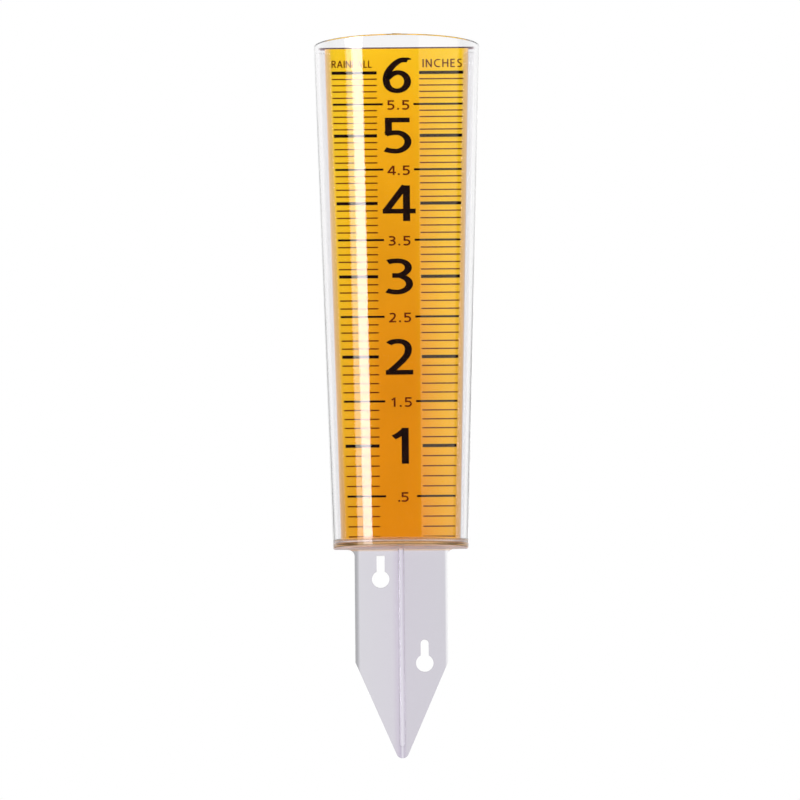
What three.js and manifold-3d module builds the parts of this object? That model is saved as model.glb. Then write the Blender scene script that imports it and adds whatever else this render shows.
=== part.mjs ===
// Manual rain gauge: a clear tapered measuring tube with a flat back and a bowed front, a ground
// stake with two keyholes below it, and an amber scale plate that stands inside against the back
// wall, behind two guide ribs, and lifts out through the mouth.
//
// Millimetres, +Z up. The origin lies on the flat back, on the centre line, level with the inside
// of the tube's floor, where the rain scale starts. The front faces -Y.

import * as THREE from 'three';
import { mergeVertices } from 'three/addons/utils/BufferGeometryUtils.js';
import Module from 'manifold-3d';

// Measuring tube, outside sizes
const tubeHeight = 218.9; // inside floor to rim
const mouthWidth = 72.6;
const baseWidth = 59.0;
const mouthDepth = 44.0; // flat back to the crown of the bowed front
const baseDepth = 31.5;
const sideStraight = 5.6; // flat side at the mouth, between the back and the bowed front
const cornerRadius = 2.4; // upright edges at the back
const wallThickness = 1.8;
const backThickness = 2.0;
const floorThickness = 2.1;

// Scale plate, which fits between the side walls
const plateSideRoomAtTop = 2.65; // each edge to the side wall
const plateSideRoomAtFoot = 1.65;
const plateThickness = 1.5;
const plateBelowRim = 1.1;

// Guide ribs on the side walls, in front of the plate's edges
const ribOverlap = 2.2; // how far each rib reaches over the plate
const ribThickness = 1.1;
const ribBelowRim = 3.0;

// Ground stake
const stakeWidth = 40.4;
const bladeLength = 49.2; // tube underside to the shoulders
const pointLength = 41.8; // shoulders to the tip
const stakeThickness = 2.4;
const stakeFillet = 3.0; // where the blade meets the tube's underside
const tipRadius = 2.8;

// Centre web on the front of the stake
const webThickness = 2.6;
const webTopReach = 11.0; // from the flat back to the web's front edge, below the tube
const webFootReach = 4.6;
const webAboveTip = 5.0;

// Keyholes through the blade
const headRadius = 3.8; // round part, which passes a screw's head
const slotWidth = 3.5;
const slotRise = 10.3; // round part's centre to the top of the slot
const upperKeyhole = { x: -8.9, drop: 13.0, roundTop: false };
const lowerKeyhole = { x: 10.0, drop: 49.7, roundTop: true };

// Room between pieces that face each other
const clearance = 0.3;

// How finely the curves are divided
const bowSegments = 48;
const cornerSegments = 4;
const arcSegments = 20;

const wasm = await Module();
wasm.setup();

// Levels and places worked out from the sizes above
const undersideZ = -floorThickness;
const plateBackY = -backThickness - clearance;
const plateFrontY = plateBackY - plateThickness;
const ribBackY = plateFrontY - clearance;
const plateFootZ = clearance;
const plateTopZ = tubeHeight - plateBelowRim;
const stakeTopZ = undersideZ - clearance;
const shoulderZ = undersideZ - bladeLength;
const tipZ = shoulderZ - pointLength;

function lerp(start, end, share) {
  return start + (end - start) * share;
}

// The tube's outside half-width at a height, running on in a straight line past both ends.
function outerHalfWidth(z) {
  return lerp(baseWidth, mouthWidth, (z - undersideZ) / (tubeHeight - undersideZ)) / 2;
}

function outerDepth(z) {
  return lerp(baseDepth, mouthDepth, (z - undersideZ) / (tubeHeight - undersideZ));
}

function innerHalfWidth(z) {
  return outerHalfWidth(z) - wallThickness;
}

function innerDepth(z) {
  return outerDepth(z) - wallThickness - backThickness;
}

// The scale plate's half-width at a height, running on past both ends.
function plateHalfWidth(z) {
  const share = (z - plateFootZ) / (plateTopZ - plateFootZ);
  return innerHalfWidth(z) - lerp(plateSideRoomAtFoot, plateSideRoomAtTop, share);
}

function toSolid(geometry) {
  const bare = geometry.clone();
  bare.deleteAttribute('normal');
  bare.deleteAttribute('uv');
  const merged = mergeVertices(bare, 1e-4);
  const vertProperties = new Float32Array(merged.attributes.position.array);
  const triVerts = new Uint32Array(merged.index.array);
  return new wasm.Manifold(new wasm.Mesh({ numProp: 3, vertProperties, triVerts }));
}

function toGeometry(solid) {
  const mesh = solid.getMesh();
  const geometry = new THREE.BufferGeometry();
  geometry.setAttribute('position', new THREE.BufferAttribute(mesh.vertProperties, 3));
  geometry.setIndex(new THREE.BufferAttribute(mesh.triVerts, 1));
  return geometry;
}

function extrude(shape, depth, curveSegments = arcSegments) {
  return new THREE.ExtrudeGeometry(shape, { depth, bevelEnabled: false, curveSegments });
}

// Moves every vertex by place(vertex), which changes the vertex it is given.
function reshape(geometry, place) {
  const position = geometry.attributes.position;
  const vertex = new THREE.Vector3();
  for (let i = 0; i < position.count; i += 1) {
    vertex.fromBufferAttribute(position, i);
    place(vertex);
    position.setXYZ(i, vertex.x, vertex.y, vertex.z);
  }
  return geometry;
}

// A section of the tube with its flat back on y = 0: rounded back corners, short straight sides and
// a half-ellipse for the bowed front.
function tubeSection(halfWidth, depth, straight, radius) {
  const points = [];
  const bowDepth = depth - straight;
  for (let i = 0; i <= bowSegments; i += 1) {
    const angle = (Math.PI * i) / bowSegments;
    points.push(new THREE.Vector2(-halfWidth * Math.cos(angle), -straight - bowDepth * Math.sin(angle)));
  }
  for (let i = 0; i <= cornerSegments; i += 1) {
    const angle = ((Math.PI / 2) * i) / cornerSegments;
    const x = halfWidth - radius + radius * Math.cos(angle);
    points.push(new THREE.Vector2(x, -radius + radius * Math.sin(angle)));
  }
  for (let i = 0; i <= cornerSegments; i += 1) {
    const angle = Math.PI / 2 + ((Math.PI / 2) * i) / cornerSegments;
    const x = -halfWidth + radius + radius * Math.cos(angle);
    points.push(new THREE.Vector2(x, -radius + radius * Math.sin(angle)));
  }
  return new THREE.Shape(points);
}

// A section drawn out from one height to another, with its width and depth following the taper.
function taperedBody(halfWidthAt, depthAt, backY, radius, fromZ, toZ) {
  const fullHalfWidth = halfWidthAt(tubeHeight);
  const fullDepth = depthAt(tubeHeight);
  const section = tubeSection(fullHalfWidth, fullDepth, sideStraight + backY, radius);
  return reshape(extrude(section, toZ - fromZ), (v) => {
    v.z += fromZ;
    v.x *= halfWidthAt(v.z) / fullHalfWidth;
    v.y = backY + (v.y * depthAt(v.z)) / fullDepth;
  });
}

function measuringTube() {
  const outside = taperedBody(outerHalfWidth, outerDepth, 0, cornerRadius, undersideZ, tubeHeight);
  const innerRadius = Math.max(cornerRadius - wallThickness, clearance);
  const pastRim = tubeHeight + wallThickness;
  const inside = taperedBody(innerHalfWidth, innerDepth, -backThickness, innerRadius, 0, pastRim);
  return toGeometry(toSolid(outside).subtract(toSolid(inside)));
}

// A bar that stands against one side wall and reaches over the scale plate's edge. side is +1 on
// the right and -1 on the left.
function guideRib(side) {
  const bar = new THREE.BoxGeometry(1, ribThickness, tubeHeight - ribBelowRim - clearance);
  bar.translate(0.5, ribBackY - ribThickness / 2, clearance + bar.parameters.depth / 2);
  const geometry = reshape(bar, (v) => {
    const freeEdge = plateHalfWidth(v.z) - ribOverlap;
    const wallEdge = innerHalfWidth(v.z) - clearance;
    v.x = lerp(freeEdge, wallEdge, v.x);
  });
  return side > 0 ? geometry : geometry.rotateZ(Math.PI).translate(0, 2 * ribBackY - ribThickness, 0);
}

function scalePlate() {
  const outline = new THREE.Shape([
    new THREE.Vector2(-plateHalfWidth(plateFootZ), plateFootZ),
    new THREE.Vector2(plateHalfWidth(plateFootZ), plateFootZ),
    new THREE.Vector2(plateHalfWidth(plateTopZ), plateTopZ),
    new THREE.Vector2(-plateHalfWidth(plateTopZ), plateTopZ),
  ]);
  return extrude(outline, plateThickness).rotateX(Math.PI / 2).translate(0, plateBackY, 0);
}

// The round hole and the slot above it, as one outline that starts where the slot leaves the round.
function keyholePath({ x, drop, roundTop }) {
  const centreZ = undersideZ - drop;
  const slotHalf = slotWidth / 2;
  const slotAngle = Math.asin(slotHalf / headRadius);
  const path = new THREE.Path();
  path.absarc(x, centreZ, headRadius, Math.PI / 2 + slotAngle, 2.5 * Math.PI - slotAngle, false);
  if (roundTop) {
    path.absarc(x, centreZ + slotRise - slotHalf, slotHalf, 0, Math.PI, false);
  } else {
    path.lineTo(x + slotHalf, centreZ + slotRise);
    path.lineTo(x - slotHalf, centreZ + slotRise);
  }
  path.closePath();
  return path;
}

function groundStake() {
  const half = stakeWidth / 2;
  const tipCentreZ = tipZ + tipRadius;
  const toShoulder = Math.hypot(half, shoulderZ - tipCentreZ);
  const tangent = Math.atan2(shoulderZ - tipCentreZ, half) - Math.acos(tipRadius / toShoulder);
  const filletZ = stakeTopZ - stakeFillet;
  const outline = new THREE.Shape();
  outline.moveTo(-half - stakeFillet, stakeTopZ);
  outline.absarc(-half - stakeFillet, filletZ, stakeFillet, Math.PI / 2, 0, true);
  outline.lineTo(-half, shoulderZ);
  outline.absarc(0, tipCentreZ, tipRadius, Math.PI - tangent, 2 * Math.PI + tangent, false);
  outline.lineTo(half, shoulderZ);
  outline.absarc(half + stakeFillet, filletZ, stakeFillet, Math.PI, Math.PI / 2, true);
  outline.closePath();
  outline.holes.push(keyholePath(upperKeyhole), keyholePath(lowerKeyhole));
  return extrude(outline, stakeThickness).rotateX(Math.PI / 2);
}

// The upright fin on the front of the stake, deepest under the tube and shallow near the tip.
function stakeWeb() {
  const webBack = stakeThickness + clearance;
  const webFootZ = tipZ + webAboveTip;
  const outline = new THREE.Shape([
    new THREE.Vector2(webBack, webFootZ),
    new THREE.Vector2(webFootReach, webFootZ),
    new THREE.Vector2(webTopReach, stakeTopZ),
    new THREE.Vector2(webBack, stakeTopZ),
  ]);
  const forward = new THREE.Vector3(0, -1, 0);
  const up = new THREE.Vector3(0, 0, 1);
  const across = new THREE.Vector3().crossVectors(forward, up);
  const standing = new THREE.Matrix4().makeBasis(forward, up, across);
  return extrude(outline, webThickness).applyMatrix4(standing).translate(webThickness / 2, 0, 0);
}

const clearPlastic = new THREE.MeshStandardMaterial({
  color: 0xe9e7ee, roughness: 0.06, metalness: 0, transparent: true, opacity: 0.35,
});
const amberPlastic = new THREE.MeshStandardMaterial({ color: 0xf0a31e, roughness: 0.3, metalness: 0 });

function piece(name, geometry, material) {
  const mesh = new THREE.Mesh(geometry, material);
  mesh.name = name;
  return mesh;
}

const moulding = new THREE.Group();
moulding.add(
  piece('measuring_tube', measuringTube(), clearPlastic),
  piece('guide_rib_left', guideRib(-1), clearPlastic),
  piece('guide_rib_right', guideRib(1), clearPlastic),
  piece('ground_stake', groundStake(), clearPlastic),
  piece('stake_web', stakeWeb(), clearPlastic),
);

const rainGauge = new THREE.Group();
rainGauge.add(moulding, piece('scale_plate', scalePlate(), amberPlastic));

export default rainGauge;
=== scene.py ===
"""Manual rain gauge: the clear moulding, the amber scale plate and its print, dressed and lit."""

import logging
import math
from dataclasses import dataclass
from enum import Enum

import bmesh
import bpy
from mathutils import Matrix, Vector
from mathutils.geometry import interpolate_bezier


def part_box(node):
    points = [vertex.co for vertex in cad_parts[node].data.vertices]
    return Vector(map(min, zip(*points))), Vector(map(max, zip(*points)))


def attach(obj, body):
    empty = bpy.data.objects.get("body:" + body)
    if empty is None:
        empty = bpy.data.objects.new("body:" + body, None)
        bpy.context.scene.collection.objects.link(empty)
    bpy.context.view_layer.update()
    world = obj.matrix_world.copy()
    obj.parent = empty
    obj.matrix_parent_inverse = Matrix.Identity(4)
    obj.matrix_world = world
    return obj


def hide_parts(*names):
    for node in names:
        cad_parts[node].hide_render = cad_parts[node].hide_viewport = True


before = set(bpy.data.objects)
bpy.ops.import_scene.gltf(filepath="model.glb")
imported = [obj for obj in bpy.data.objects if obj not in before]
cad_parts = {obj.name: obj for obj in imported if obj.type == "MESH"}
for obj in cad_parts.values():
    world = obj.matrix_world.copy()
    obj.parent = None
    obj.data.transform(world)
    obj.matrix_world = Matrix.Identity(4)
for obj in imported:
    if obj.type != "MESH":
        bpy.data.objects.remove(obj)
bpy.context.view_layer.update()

MM = 0.001
INCH = 25.4 * MM
FULL_SCALE = 6
TENTHS = 10
SHARPEST_SMOOTH = math.radians(32)
FLAT_ENOUGH = 0.99995
Colour = tuple[float, float, float]
Stops = tuple[tuple[float, Colour], ...]
log = logging.getLogger("rain_gauge")


class Side(Enum):
    """The reader's left or right of the centre line, as a sign along X."""

    LEFT = -1
    RIGHT = 1


class Mark(Enum):
    """The weights of line on the scale."""

    INCH = "inch"
    HALF = "half"
    TENTH = "tenth"

    @classmethod
    def of(cls, tenth: int) -> "Mark":
        """Tells the weight of a line.

        Args:
            tenth: the number of tenths of an inch that it stands for.

        Returns:
            The weight.
        """
        if tenth % TENTHS == 0:
            return cls.INCH
        return cls.TENTH if tenth % (TENTHS // 2) else cls.HALF


def lerp(start: float, end: float, share: float) -> float:
    """Mixes two numbers: start at share 0, end at share 1, and on past both."""
    return start + (end - start) * share


def arc(start: float, turn: float, steps: int) -> list[float]:
    """Divides a turn into even steps.

    Args:
        start: the first angle, in radians.
        turn: how far it turns, in radians.
        steps: how many steps it takes.

    Returns:
        The angles, with both ends.
    """
    return [start + turn * step / steps for step in range(steps + 1)]


def bearing_way(bearing: float, rise: float) -> Vector:
    """The way from the gauge to something round it.

    Args:
        bearing: degrees to the reader's right of straight in front.
        rise: degrees above level.

    Returns:
        A vector of length one.
    """
    turn, lift = math.radians(bearing), math.radians(rise)
    return Vector((math.sin(turn) * math.cos(lift), -math.cos(turn) * math.cos(lift), math.sin(lift)))


# ---------------------------------------------------------------- measuring the frame


@dataclass(frozen=True)
class Taper:
    """A size that changes in a straight line with height."""

    low_z: float
    low: float
    high_z: float
    high: float

    def at(self, z: float) -> float:
        """The size at height z."""
        return lerp(self.low, self.high, (z - self.low_z) / (self.high_z - self.low_z))


def level_of(node: str, z: float) -> list[Vector]:
    """Finds the corners of a CAD node that lie at one height.

    Args:
        node: the CAD node's name.
        z: the height, in metres.

    Returns:
        The positions of the node's vertices within a hundredth of a millimetre of that height.
    """
    return [v.co.copy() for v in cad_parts[node].data.vertices if abs(v.co.z - z) < 0.01 * MM]


def half_width(points: list[Vector]) -> float:
    """The widest reach of some points from the centre line."""
    return max(abs(p.x) for p in points)


def reach(points: list[Vector]) -> float:
    """How far some points come forward of the flat back."""
    return -min(p.y for p in points)


@dataclass(frozen=True)
class GaugeForm:
    """The sizes of the gauge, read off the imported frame."""

    underside: float
    rim: float
    wall: float
    back_wall: float
    outer_half: Taper
    outer_depth: Taper
    plate_half: Taper
    plate_back: float
    plate_front: float

    @classmethod
    def from_frame(cls) -> "GaugeForm":
        """Measures the tube and the scale plate at the ends of their tapers.

        Returns:
            The gauge's form, in metres.
        """
        low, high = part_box("measuring_tube")
        foot, mouth, floor = (level_of("measuring_tube", z) for z in (low.z, high.z, 0.0))
        outer_half = Taper(low.z, half_width(foot), high.z, half_width(mouth))
        plate_low, plate_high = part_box("scale_plate")
        plate_ends = [half_width(level_of("scale_plate", z)) for z in (plate_low.z, plate_high.z)]
        return cls(
            underside=low.z,
            rim=high.z,
            wall=outer_half.at(0.0) - half_width(floor),
            back_wall=-max(p.y for p in floor),
            outer_half=outer_half,
            outer_depth=Taper(low.z, reach(foot), high.z, reach(mouth)),
            plate_half=Taper(plate_low.z, plate_ends[0], plate_high.z, plate_ends[1]),
            plate_back=plate_high.y,
            plate_front=plate_low.y,
        )

    def inner_half(self, z: float) -> float:
        """The inside's half-width at a height."""
        return self.outer_half.at(z) - self.wall

    def inner_depth(self, z: float) -> float:
        """The inside's depth at a height."""
        return self.outer_depth.at(z) - self.wall - self.back_wall


@dataclass(frozen=True)
class RainCalibration:
    """Where an amount of rain stands in the tube, from the taper and the catch at the rim."""

    form: GaugeForm
    catch: float = 0.967
    zero: float = -1.0 * MM
    halvings: int = 40

    def section(self, z: float) -> float:
        """The inside section at a height, up to a constant that every section shares."""
        return self.form.inner_half(z) * self.form.inner_depth(z)

    def held(self, z: float) -> float:
        """The volume below a height by Simpson's rule, which is exact for this taper."""
        return z * (self.section(0) + 4 * self.section(z / 2) + self.section(z)) / 6

    def height(self, tenth: float) -> float:
        """The height of a mark, with each inch shared out evenly between its ends.

        Args:
            tenth: the number of tenths of an inch.

        Returns:
            The mark's height above the inside of the floor, in metres.
        """
        inch = math.floor(tenth / TENTHS)
        low, high = (self.water(whole * INCH) for whole in (inch, inch + 1))
        return self.zero + lerp(low, high, tenth / TENTHS - inch)

    def water(self, rain: float) -> float:
        """Solves for the water's height by halving the tube.

        Args:
            rain: the depth of rain, in metres.

        Returns:
            The height of the water above the inside of the floor, in metres.
        """
        caught = rain * self.section(self.form.rim) / self.catch
        low, high = 0.0, self.form.rim
        for _ in range(self.halvings):
            middle = (low + high) / 2
            low, high = (middle, high) if self.held(middle) < caught else (low, middle)
        return low


# ---------------------------------------------------------------- mesh tools


def as_object(name: str, bm: bmesh.types.BMesh) -> bpy.types.Object:
    """Turns a bmesh into a shaded object at the origin.

    Args:
        name: the object's name.
        bm: the mesh, which is freed.

    Returns:
        The new object, linked to the scene.
    """
    mesh = bpy.data.meshes.new(name)
    bm.to_mesh(mesh)
    bm.free()
    made = bpy.data.objects.new(name, mesh)
    bpy.context.scene.collection.objects.link(made)
    shade(made)
    return made


def finished(name: str, bm: bmesh.types.BMesh) -> bpy.types.Object:
    """Merges a bmesh's doubles, turns its faces outwards and makes it an object.

    Args:
        name: the object's name.
        bm: the mesh being built, which is freed.

    Returns:
        The new object, linked to the scene.
    """
    bmesh.ops.remove_doubles(bm, verts=bm.verts, dist=0.001 * MM)
    bmesh.ops.recalc_face_normals(bm, faces=bm.faces)
    return as_object(name, bm)


def shade(piece: bpy.types.Object) -> None:
    """Shades a piece smooth, but keeps its flat faces flat and its corners sharp.

    Edges that turn by SHARPEST_SMOOTH or more stay sharp, and faces that look along Y or Z to
    within FLAT_ENOUGH stay flat.

    Args:
        piece: the object to shade.
    """
    bm = bmesh.new()
    bm.from_mesh(piece.data)
    bm.normal_update()
    for face in bm.faces:
        face.smooth = max(abs(face.normal.y), abs(face.normal.z)) < FLAT_ENOUGH
    for edge in bm.edges:
        edge.smooth = edge.is_manifold and edge.calc_face_angle(0.0) < SHARPEST_SMOOTH
    bm.to_mesh(piece.data)
    bm.free()


def round_sharp_edges(bm: bmesh.types.BMesh, radius: float, segments: int) -> None:
    """Rounds every edge that turns by more than a radian.

    Args:
        bm: the mesh.
        radius: the width of the rounding, in metres.
        segments: how many faces each rounding has across.
    """
    bm.normal_update()
    bmesh.ops.bevel(
        bm,
        geom=[e for e in bm.edges if e.is_manifold and e.calc_face_angle(0.0) > 1.0],
        offset=radius,
        offset_type="OFFSET",
        segments=segments,
        profile=0.5,
        affect="EDGES",
        material=-1,
        clamp_overlap=True,
    )


def thicken(bm: bmesh.types.BMesh, by: Vector) -> None:
    """Extrudes all of a flat sheet and closes it.

    Args:
        bm: the mesh, which holds nothing but the sheet.
        by: how far and which way the sheet is drawn out.
    """
    grown = bmesh.ops.extrude_face_region(bm, geom=bm.faces[:])["geom"]
    bmesh.ops.translate(bm, verts=[g for g in grown if isinstance(g, bmesh.types.BMVert)], vec=by)
    bmesh.ops.recalc_face_normals(bm, faces=bm.faces)


def loop_of(bm: bmesh.types.BMesh, points: list[Vector]) -> list[bmesh.types.BMEdge]:
    """Draws a closed loop of edges through some points.

    Args:
        bm: the mesh.
        points: the loop's corners in order.

    Returns:
        The loop's edges.
    """
    ring = [bm.verts.new(p) for p in points]
    return [bm.edges.new(pair) for pair in zip(ring, ring[1:] + ring[:1])]


@dataclass(frozen=True)
class BarEnd:
    """One level end of a tapered bar: its height and where its four sides stand."""

    z: float
    left: float
    right: float
    front: float
    back: float


def tapered_bar(
    name: str, foot: BarEnd, head: BarEnd, radius: float, segments: int = 3
) -> bpy.types.Object:
    """Shapes a cube into a bar between two level ends, and rounds its edges.

    Args:
        name: the object's name.
        foot: the lower end.
        head: the upper end.
        radius: the rounding of the edges, or none at 0.
        segments: how many faces the rounding has across.

    Returns:
        The bar.
    """
    bm = bmesh.new()
    for vertex in bmesh.ops.create_cube(bm, size=2.0)["verts"]:
        end = head if vertex.co.z > 0 else foot
        x = end.right if vertex.co.x > 0 else end.left
        y = end.back if vertex.co.y > 0 else end.front
        vertex.co = (x, y, end.z)
    if radius:
        round_sharp_edges(bm, radius, segments)
    return finished(name, bm)


def fuse(body: bpy.types.Object, parts: list[bpy.types.Object]) -> None:
    """Joins closed parts to a closed body, leaving one skin with nothing inside it.

    Args:
        body: the object that grows.
        parts: the objects that it takes in, which are removed.
    """
    for part in parts:
        union = body.modifiers.new(part.name, "BOOLEAN")
        union.operation = "UNION"
        union.solver = "EXACT"
        union.object = part
        depsgraph = bpy.context.evaluated_depsgraph_get()
        result = bpy.data.meshes.new_from_object(body.evaluated_get(depsgraph))
        body.modifiers.clear()
        old, body.data = body.data, result
        bpy.data.meshes.remove(old)
        bpy.data.objects.remove(part)
    body.data.name = body.name


def join(name: str, parts: list[bpy.types.Object]) -> bpy.types.Object:
    """Gathers separate parts into one object without fusing them.

    Args:
        name: the object's name.
        parts: the objects to gather, which are removed.

    Returns:
        The gathered object.
    """
    bm = bmesh.new()
    for part in parts:
        bm.from_mesh(part.data)
        bpy.data.objects.remove(part)
    return as_object(name, bm)


# ---------------------------------------------------------------- pen lettering


@dataclass(frozen=True)
class Knot:
    """A point of a pen stroke. A pull makes the stroke smooth along it; without one it is a corner."""

    x: float
    y: float
    pull: tuple[float, float] = (0.0, 0.0)

    @property
    def place(self) -> Vector:
        """Where the knot lies, in letter heights."""
        return Vector((self.x, self.y))

    @property
    def is_corner(self) -> bool:
        """Whether the stroke turns sharply here."""
        return self.pull == (0.0, 0.0)


Stroke = tuple[Knot, ...]


@dataclass(frozen=True)
class Pen:
    """A pen with an oval nib, as shares of the letter's height: its width and its height."""

    broad: float
    thin: float

    def offset(self, along: Vector) -> Vector:
        """The nib's edge to the left of a direction of travel."""
        across = Vector((-along.y * self.broad**2, along.x * self.thin**2))
        return across / (2 * math.hypot(self.broad * along.y, self.thin * along.x))


@dataclass(frozen=True)
class Glyph:
    """A figure or letter one unit high, drawn as pen strokes about its middle."""

    strokes: tuple[Stroke, ...]
    width: float = 0.7


def straight(*points: tuple[float, float]) -> Stroke:
    """A stroke of straight lines through some points."""
    return tuple(Knot(x, y) for x, y in points)


GLYPHS: dict[str, Glyph] = {
    "1": Glyph((
        straight((0.14, 0.0), (0.14, 1.0)),
        (Knot(-0.18, 0.735), Knot(-0.02, 0.82, (0.05, 0.035)), Knot(0.13, 0.94)),
    )),
    "2": Glyph((
        (Knot(-0.29, 0.86), Knot(-0.03, 0.935, (0.17, 0.0)), Knot(0.25, 0.71, (0.0, -0.14)),
         Knot(0.06, 0.37, (-0.11, -0.11)), Knot(-0.29, 0.06)),
        straight((-0.38, 0.065), (0.38, 0.065)),
    )),
    "3": Glyph((
        (Knot(-0.30, 0.905), Knot(-0.03, 0.94, (0.17, 0.0)), Knot(0.27, 0.745, (0.0, -0.12)),
         Knot(-0.02, 0.53, (-0.10, 0.0))),
        straight((-0.18, 0.53), (0.02, 0.53)),
        (Knot(-0.02, 0.53, (0.10, 0.0)), Knot(0.30, 0.295, (0.0, -0.14)),
         Knot(-0.04, 0.065, (-0.15, 0.0)), Knot(-0.33, 0.115)),
    )),
    "4": Glyph((
        straight((0.235, 0.0), (0.235, 1.0)),
        straight((-0.43, 0.28), (0.49, 0.28)),
        straight((0.20, 0.995), (-0.345, 0.285)),
    )),
    "5": Glyph((
        straight((-0.34, 0.94), (0.345, 0.94)),
        straight((-0.25, 1.0), (-0.25, 0.515)),
        (Knot(-0.33, 0.54), Knot(-0.03, 0.585, (0.17, 0.0)), Knot(0.29, 0.325, (0.0, -0.15)),
         Knot(-0.04, 0.065, (-0.15, 0.0)), Knot(-0.35, 0.115)),
    )),
    "6": Glyph((
        (Knot(0.31, 0.93), Knot(0.16, 0.935, (-0.15, 0.0)), Knot(-0.305, 0.40, (0.0, -0.24)),
         Knot(0.0, 0.065, (0.16, 0.0)), Knot(0.295, 0.325, (0.0, 0.145)),
         Knot(0.03, 0.58, (-0.14, 0.0)), Knot(-0.27, 0.42)),
    )),
    ".": Glyph((straight((0.0, 0.0), (0.0, 0.19)),)),
    "A": Glyph((straight((-0.33, 0.0), (0.0, 1.0)), straight((0.0, 1.0), (0.33, 0.0)),
                straight((-0.22, 0.33), (0.22, 0.33))), 0.80),
    "C": Glyph(((Knot(0.33, 0.88), Knot(0.10, 0.94, (-0.24, 0.0)), Knot(-0.31, 0.50, (0.0, -0.24)),
                 Knot(0.10, 0.06, (0.20, 0.0)), Knot(0.33, 0.12)),), 0.78),
    "E": Glyph((straight((-0.22, 0.0), (-0.22, 1.0)), straight((-0.22, 0.94), (0.24, 0.94)),
                straight((-0.22, 0.52), (0.20, 0.52)), straight((-0.22, 0.06), (0.25, 0.06))), 0.58),
    "F": Glyph((straight((-0.20, 0.0), (-0.20, 1.0)), straight((-0.20, 0.94), (0.23, 0.94)),
                straight((-0.20, 0.50), (0.18, 0.50))), 0.54),
    "H": Glyph((straight((-0.30, 0.0), (-0.30, 1.0)), straight((0.30, 0.0), (0.30, 1.0)),
                straight((-0.30, 0.52), (0.30, 0.52))), 0.74),
    "I": Glyph((straight((0.0, 0.0), (0.0, 1.0)),), 0.14),
    "L": Glyph((straight((-0.18, 0.0), (-0.18, 1.0)), straight((-0.18, 0.06), (0.24, 0.06))), 0.50),
    "N": Glyph((straight((-0.30, 0.0), (-0.30, 1.0)), straight((0.30, 0.0), (0.30, 1.0)),
                straight((-0.30, 0.97), (0.30, 0.03))), 0.74),
    "R": Glyph((straight((-0.24, 0.0), (-0.24, 1.0)),
                (Knot(-0.24, 0.94), Knot(-0.02, 0.94, (0.10, 0.0)), Knot(0.20, 0.73, (0.0, -0.12)),
                 Knot(-0.02, 0.50, (-0.10, 0.0)), Knot(-0.24, 0.50)),
                straight((-0.04, 0.50), (0.27, 0.02))), 0.62),
    "S": Glyph(((Knot(0.21, 0.90), Knot(0.02, 0.94, (-0.16, 0.0)), Knot(-0.19, 0.75, (0.0, -0.13)),
                 Knot(0.02, 0.51, (0.10, -0.06)), Knot(0.22, 0.27, (0.0, -0.13)),
                 Knot(-0.02, 0.06, (-0.14, 0.0)), Knot(-0.23, 0.11)),), 0.56),
}


@dataclass(frozen=True)
class Lettering:
    """Printed letters that stand up to face the reader."""

    pen: Pen
    height: float
    thickness: float
    front: float
    fineness: int = 9
    ease: float = 0.4

    def samples(self, stroke: Stroke) -> list[list[Vector]]:
        """Divides a stroke into runs that are smooth from end to end.

        Args:
            stroke: the stroke's knots.

        Returns:
            Each run's points, in letter heights.
        """
        runs: list[list[Vector]] = [[]]
        for start, end in zip(stroke, stroke[1:]):
            here, there = start.place, end.place
            out, into = here + Vector(start.pull), there - Vector(end.pull)
            if start.is_corner:
                out = here.lerp(into, self.ease)
            if end.is_corner:
                into = there.lerp(out, self.ease)
            steps = 2 if start.is_corner and end.is_corner else self.fineness + 1
            curve = interpolate_bezier(*(v.to_3d() for v in (here, out, into, there)), steps)
            points = [Vector(p[:2]) for p in curve]
            runs[-1] += points if not runs[-1] else points[1:]
            if end.is_corner:
                runs.append([])
        return [run for run in runs if run]

    def ribbon(self, name: str, run: list[Vector], at: Vector) -> bpy.types.Object:
        """Draws the pen along one run and gives the line its thickness.

        Args:
            name: the object's name.
            run: the run's points, in letter heights.
            at: the place of the letter's foot, on the plate's face.

        Returns:
            The inked line.
        """
        bm = bmesh.new()
        edge = None
        left = Vector()
        for index, point in enumerate(run):
            along = run[min(index + 1, len(run) - 1)] - run[max(index - 1, 0)]
            nib = self.pen.offset(along.normalized())
            ends = [self.stand(point + nib, at), self.stand(point - nib, at)]
            if edge is None:
                edge = bm.edges.new([bm.verts.new(place) for place in ends])
            else:
                grown = bmesh.ops.extrude_edge_only(bm, edges=[edge])["geom"]
                edge = next(g for g in grown if isinstance(g, bmesh.types.BMEdge))
                tips = sorted(edge.verts, key=lambda v: (v.co - left).length)
                for vertex, place in zip(tips, ends):
                    vertex.co = place
            left = ends[0]
        thicken(bm, Vector((0.0, -self.thickness, 0.0)))
        return finished(name, bm)

    def stand(self, point: Vector, at: Vector) -> Vector:
        """Stands a point of a letter up on the plate."""
        return Vector((at.x + point.x * self.height, self.front, at.z + point.y * self.height))

    def letter(self, symbol: str, at: Vector) -> bpy.types.Object:
        """Prints one letter.

        Args:
            symbol: which letter.
            at: the place of the middle of its foot.

        Returns:
            The letter as one solid.
        """
        runs = [run for stroke in GLYPHS[symbol].strokes for run in self.samples(stroke)]
        lines = [self.ribbon(f"line_{symbol}_{i}", run, at) for i, run in enumerate(runs)]
        body, *rest = lines
        fuse(body, rest)
        return body


# ---------------------------------------------------------------- material tools


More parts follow.
